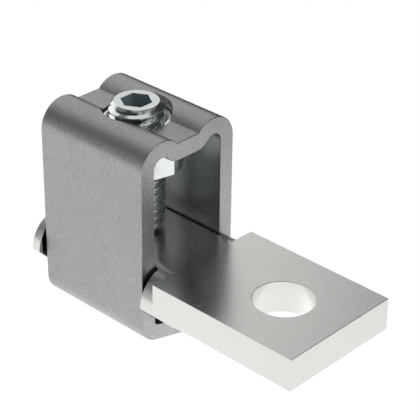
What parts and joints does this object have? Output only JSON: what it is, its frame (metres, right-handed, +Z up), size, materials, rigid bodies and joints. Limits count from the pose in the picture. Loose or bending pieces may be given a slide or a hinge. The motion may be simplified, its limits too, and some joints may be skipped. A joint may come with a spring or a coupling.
{
  "type": "frame clamp terminal",
  "caption": "Box frame clamp with a set screw in a pressed nut, closed around a tinned contact lug with a drilled palm.",
  "frame": {"origin": "centre of the palm's bolt hole, on the palm's underside", "axes": "+X from the clamp to the palm's free end, +Z up out of the palm towards the screw head, +Y to the left of +X"},
  "size_m": [0.075, 0.03, 0.0508],
  "materials": {
    "tinned_lug": "tin plated, satin",
    "frame_steel": "brushed flanks, blasted end faces",
    "plated_nut": "bright plated",
    "plated_screw": "bright plated"
  },
  "bodies": {
    "lug": {"contact_lug": "tinned_lug"},
    "clamp": {"clamp_frame": "frame_steel", "press_nut": "plated_nut"},
    "screw": {"clamp_screw": "plated_screw"}
  },
  "joints": [
    {"name": "clamp_travel", "type": "slide", "parent": "lug", "child": "clamp", "axis": [0, 0, 1], "range_m": [-0.0143, 0.00095]},
    {"name": "screw_turn", "type": "hinge", "parent": "lug", "child": "screw", "pos_m": [-0.042, 0, 0.0085], "axis": [0, 0, 1], "range_deg": [-196, 2942.5]}
  ],
  "couplings": [
    {"joint": "screw_turn", "follows": "clamp_travel", "rad_per_m": -3590.4}
  ]
}
